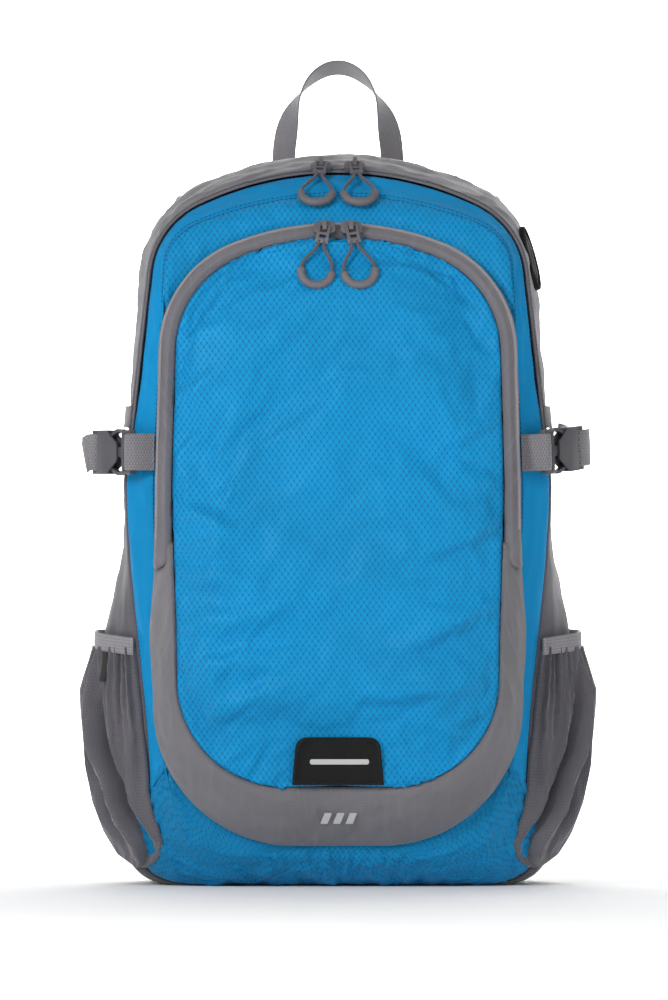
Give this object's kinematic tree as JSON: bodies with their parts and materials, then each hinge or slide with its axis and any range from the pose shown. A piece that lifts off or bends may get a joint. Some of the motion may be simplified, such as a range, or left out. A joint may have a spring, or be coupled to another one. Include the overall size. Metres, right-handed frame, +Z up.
{
  "type": "daypack",
  "caption": "Blue and grey hiking daypack with a zipped main compartment, zipped front pocket, stretch side pockets, compression buckles, haul loop and padded harness.",
  "frame": {"origin": "centre of the base's flat underside, where the pack stands on the ground", "axes": "+Z up along the pack, -Y out of the front pocket, +Y towards the wearer's back, +X to the right seen from the front"},
  "size_m": [0.3553, 0.267, 0.5663],
  "materials": {
    "ripstop_blue": "satin",
    "dobby_blue": "satin",
    "base_blue": "satin",
    "grey_fabric": "matte",
    "grey_stretch": "matte",
    "grey_binding": "matte",
    "foam_back": "matte",
    "air_mesh": "matte",
    "zip_coil": "matte",
    "black_rubber": "matte",
    "reflective": "satin",
    "black_label": "matte",
    "grey_webbing": "matte",
    "buckle_plastic": "satin",
    "zip_metal": "satin",
    "pull_cord": "matte",
    "grip_plastic": "satin"
  },
  "bodies": {
    "pack": {"front_panel": "ripstop_blue", "front_gusset": "dobby_blue", "base_panel": "base_blue", "rear_gusset": "grey_fabric", "side_panel_left": "grey_stretch", "side_panel_right": "grey_stretch", "back_panel": "foam_back", "back_pads": "air_mesh", "strap_yoke": "grey_binding", "main_zip_tape": "grey_binding", "main_zip_coil": "zip_coil", "pocket_face": "ripstop_blue", "lower_front_panel": "grey_fabric", "pocket_zip_welt": "grey_binding", "pocket_zip_coil": "zip_coil", "light_tab": "black_rubber", "reflective_prints": "reflective", "side_pocket_left": "grey_stretch", "side_pocket_right": "grey_stretch", "pocket_hems": "grey_binding", "side_label": "black_label", "cable_port": "black_rubber", "zip_end_tabs": "grey_webbing", "compression_web_front": "grey_webbing", "buckle_male_left": "buckle_plastic", "buckle_male_right": "buckle_plastic", "compression_web_left": "grey_webbing", "compression_web_right": "grey_webbing", "lower_webs": "grey_webbing", "web_anchors": "grey_webbing"},
    "main_slider_left": {"main_slider_left": "zip_metal"},
    "main_slider_right": {"main_slider_right": "zip_metal"},
    "pocket_slider_left": {"pocket_slider_left": "zip_metal"},
    "pocket_slider_right": {"pocket_slider_right": "zip_metal"},
    "main_pull_left": {"main_tab_left": "zip_metal", "main_cord_left": "pull_cord", "main_grip_left": "grip_plastic"},
    "main_pull_right": {"main_tab_right": "zip_metal", "main_cord_right": "pull_cord", "main_grip_right": "grip_plastic"},
    "pocket_pull_left": {"pocket_tab_left": "zip_metal", "pocket_cord_left": "pull_cord", "pocket_grip_left": "grip_plastic"},
    "pocket_pull_right": {"pocket_tab_right": "zip_metal", "pocket_cord_right": "pull_cord", "pocket_grip_right": "grip_plastic"},
    "haul_handle": {"haul_handle": "grey_webbing"},
    "buckle_left": {"buckle_female_left": "buckle_plastic"},
    "buckle_right": {"buckle_female_right": "buckle_plastic"},
    "harness": {"shoulder_pad_left": "air_mesh", "shoulder_pad_right": "air_mesh", "pad_webs": "grey_webbing", "ladder_locks": "buckle_plastic", "web_tails": "grey_webbing", "strap_rails": "grey_webbing"},
    "chest_strap": {"chest_clips": "buckle_plastic", "chest_web_left": "grey_webbing", "chest_web_right": "grey_webbing", "chest_buckle_female": "buckle_plastic"},
    "chest_male": {"chest_buckle_male": "buckle_plastic"}
  },
  "joints": [
    {"name": "main_slider_left_travel", "type": "hinge", "parent": "pack", "child": "main_slider_left", "pos_m": [0, -0.09971, 0.36259], "axis": [0, 0.766, -0.6428], "range_deg": [-16, 0]},
    {"name": "main_pull_left_lift", "type": "hinge", "parent": "main_slider_left", "child": "main_pull_left", "pos_m": [-0.01153, 0.00106, 0.4933], "axis": [-0.9976, -0.0448, -0.0534], "range_deg": [0, 100]},
    {"name": "main_slider_right_travel", "type": "hinge", "parent": "pack", "child": "main_slider_right", "pos_m": [0, -0.09971, 0.36259], "axis": [0, 0.766, -0.6428], "range_deg": [0, 16]},
    {"name": "main_pull_right_lift", "type": "hinge", "parent": "main_slider_right", "child": "main_pull_right", "pos_m": [0.01153, 0.00106, 0.4933], "axis": [-0.9976, 0.0448, 0.0534], "range_deg": [0, 100]},
    {"name": "pocket_slider_left_travel", "type": "hinge", "parent": "pack", "child": "pocket_slider_left", "pos_m": [0, -0.11808, 0.28693], "axis": [0, 0.9135, -0.4067], "range_deg": [-16, 0]},
    {"name": "pocket_pull_left_lift", "type": "hinge", "parent": "pocket_slider_left", "child": "pocket_pull_left", "pos_m": [-0.00911, -0.05417, 0.44866], "axis": [-0.9986, -0.0213, -0.0478], "range_deg": [0, 100]},
    {"name": "pocket_slider_right_travel", "type": "hinge", "parent": "pack", "child": "pocket_slider_right", "pos_m": [0, -0.11808, 0.28693], "axis": [0, 0.9135, -0.4067], "range_deg": [0, 16]},
    {"name": "pocket_pull_right_lift", "type": "hinge", "parent": "pocket_slider_right", "child": "pocket_pull_right", "pos_m": [0.00911, -0.05417, 0.44866], "axis": [-0.9986, 0.0213, 0.0478], "range_deg": [0, 100]},
    {"name": "haul_handle_fold", "type": "hinge", "parent": "pack", "child": "haul_handle", "pos_m": [0, 0.0982, 0.4986], "axis": [1, 0, 0], "range_deg": [-80, 40]},
    {"name": "buckle_left_release", "type": "slide", "parent": "pack", "child": "buckle_left", "axis": [-0.5592, 0.829, 0], "range_m": [0, 0.02], "deforming": ["compression_web_left"]},
    {"name": "buckle_right_release", "type": "slide", "parent": "pack", "child": "buckle_right", "axis": [0.5578, 0.827, 0.0698], "range_m": [0, 0.02], "deforming": ["compression_web_right"]},
    {"name": "harness_swing", "type": "hinge", "parent": "pack", "child": "harness", "pos_m": [0, 0.0995, 0.45], "axis": [1, 0, 0], "range_deg": [0, 10], "deforming": ["lower_webs"]},
    {"name": "chest_strap_height", "type": "slide", "parent": "harness", "child": "chest_strap", "axis": [0, 0, 1], "range_m": [-0.03, 0.03]},
    {"name": "chest_buckle_release", "type": "slide", "parent": "chest_strap", "child": "chest_male", "axis": [-1, 0, 0], "range_m": [0, 0.02], "deforming": ["chest_web_left"]}
  ]
}
